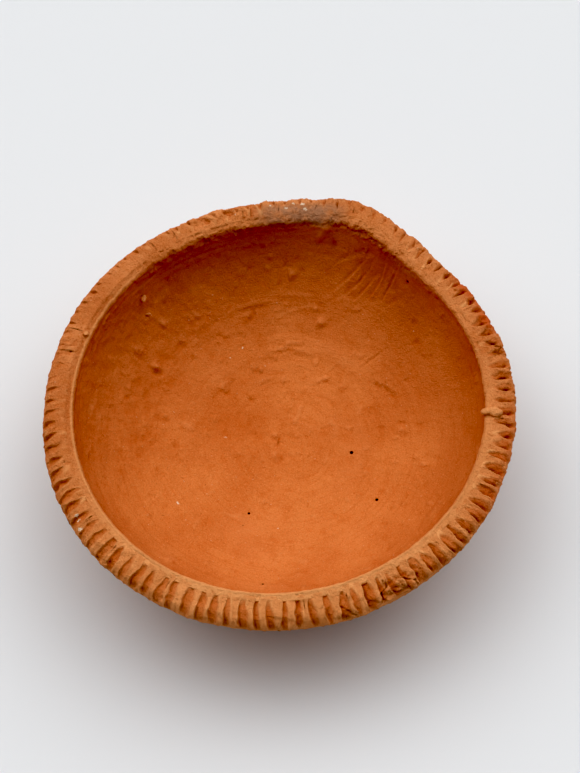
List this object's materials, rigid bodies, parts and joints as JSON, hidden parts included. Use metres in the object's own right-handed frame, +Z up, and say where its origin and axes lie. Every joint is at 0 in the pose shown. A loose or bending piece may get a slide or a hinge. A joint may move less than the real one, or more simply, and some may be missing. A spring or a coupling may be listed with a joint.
{
  "type": "diya oil lamp",
  "caption": "Shallow round clay oil lamp with a flat foot, a crimped band luted round the lip and one pinched spout where a wick rests.",
  "frame": {"origin": "centre of the foot's flat resting face, on the axis that the bowl was thrown about", "axes": "+Z up out of the bowl's mouth, +Y towards the pinched spout, +X to the right of somebody who looks along +Y"},
  "size_m": [0.0768, 0.0803, 0.0241],
  "materials": {
    "bowl_clay": "unglazed, matt, wheel-thrown terracotta",
    "band_clay": "unglazed, matt, tool-marked terracotta"
  },
  "bodies": {
    "root": {"bowl": "bowl_clay", "rim_band": "band_clay"}
  },
  "joints": []
}
